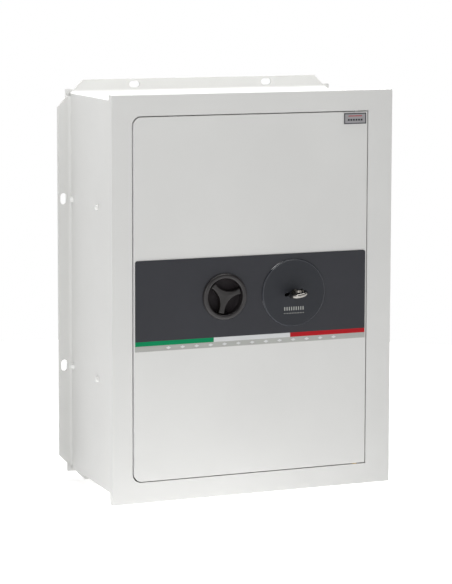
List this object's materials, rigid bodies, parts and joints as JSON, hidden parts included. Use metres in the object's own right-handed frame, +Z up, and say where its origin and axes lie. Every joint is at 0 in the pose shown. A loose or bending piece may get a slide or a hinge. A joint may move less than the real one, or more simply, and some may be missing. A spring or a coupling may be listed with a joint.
{
  "type": "wall safe",
  "caption": "Built-in wall safe with a flush hinged door, spoked knob driving round bolts, double-bitted key lock, and a flanged sheet body with slotted fixing ears.",
  "frame": {"origin": "centre of the back plate's rear face, which lies against the wall or the back of the niche", "axes": "+Z up, -Y towards the room (door side), +Y into the wall, +X to the right of someone facing the door"},
  "size_m": [0.377, 0.2125, 0.501],
  "materials": {
    "white_paint": "white powder coat, satin, faint orange peel",
    "grey_fascia": "charcoal, satin",
    "dark_disc": "charcoal, satin",
    "black_plastic": "black-brown, moulded, fine texture",
    "green_enamel": "printed, satin",
    "white_enamel": "printed, satin",
    "red_enamel": "printed, satin",
    "silver_foil": "satin silver foil",
    "badge": "anodised plate with a dark border",
    "steel": "cold rolled, oiled",
    "bright_steel": "turned, bright zinc",
    "zinc_lock": "yellowish zinc plate",
    "brass": "turned brass",
    "key_chrome": "polished nickel",
    "felt": "dark grey needle felt"
  },
  "bodies": {
    "body": {"front_frame": "white_paint", "back_plate": "white_paint", "left_wall": "white_paint", "right_wall": "white_paint", "top_wall": "white_paint", "bottom_wall": "white_paint", "left_shelf_pegs": "white_paint", "right_shelf_pegs": "white_paint", "shelf": "white_paint", "base_mat": "felt", "upper_hinge_pin": "steel", "lower_hinge_pin": "steel", "hinge_washer": "brass"},
    "door": {"door_plate": "white_paint", "fascia_panel": "grey_fascia", "green_trim_strip": "green_enamel", "white_trim_strip": "white_enamel", "red_trim_strip": "red_enamel", "silver_trim_strip": "silver_foil", "rating_badge": "badge", "knob_cup": "black_plastic", "cup_ring_nut": "black_plastic", "key_escutcheon": "dark_disc", "drill_guard": "steel", "lock_case": "zinc_lock", "cam_bearing_plate": "zinc_lock", "lock_cover": "zinc_lock", "lock_screws": "bright_steel", "bolt_guide_bar": "steel", "guide_post": "steel", "hinge_side_dog": "steel", "boltwork_cover": "white_paint", "cover_screws": "bright_steel"},
    "knob": {"knob_handle": "black_plastic", "knob_spindle": "steel", "spindle_circlip": "bright_steel", "knob_crank": "steel"},
    "bolt_carriage": {"bolt_bar": "steel", "locking_bolts": "bright_steel", "bolt_screws": "bright_steel", "drive_plate": "steel"},
    "lock_cam": {"lock_cam": "brass"},
    "dead_bolt": {"dead_bolt": "zinc_lock"},
    "key": {"key": "key_chrome"}
  },
  "joints": [
    {"name": "door_hinge", "type": "hinge", "parent": "body", "child": "door", "pos_m": [0.134, -0.179, 0], "axis": [0, 0, 1], "range_deg": [0, 110]},
    {"name": "knob_turn", "type": "hinge", "parent": "door", "child": "knob", "pos_m": [-0.039, -0.184, 0], "axis": [0, -1, 0], "range_deg": [0, 90]},
    {"name": "bolt_slide", "type": "slide", "parent": "door", "child": "bolt_carriage", "axis": [-1, 0, 0], "range_m": [0, 0.016]},
    {"name": "key_turn", "type": "hinge", "parent": "door", "child": "lock_cam", "pos_m": [0.05, -0.184, 0], "axis": [0, -1, 0], "range_deg": [0, 180]},
    {"name": "dead_bolt_slide", "type": "slide", "parent": "door", "child": "dead_bolt", "axis": [0, 0, 1], "range_m": [0, 0.008]},
    {"name": "key_withdrawal", "type": "slide", "parent": "lock_cam", "child": "key", "axis": [0, -1, 0], "range_m": [0, 0.05]}
  ],
  "couplings": [
    {"joint": "knob_turn", "follows": "bolt_slide", "rad_per_m": 98.175},
    {"joint": "key_turn", "follows": "dead_bolt_slide", "rad_per_m": 392.7}
  ]
}
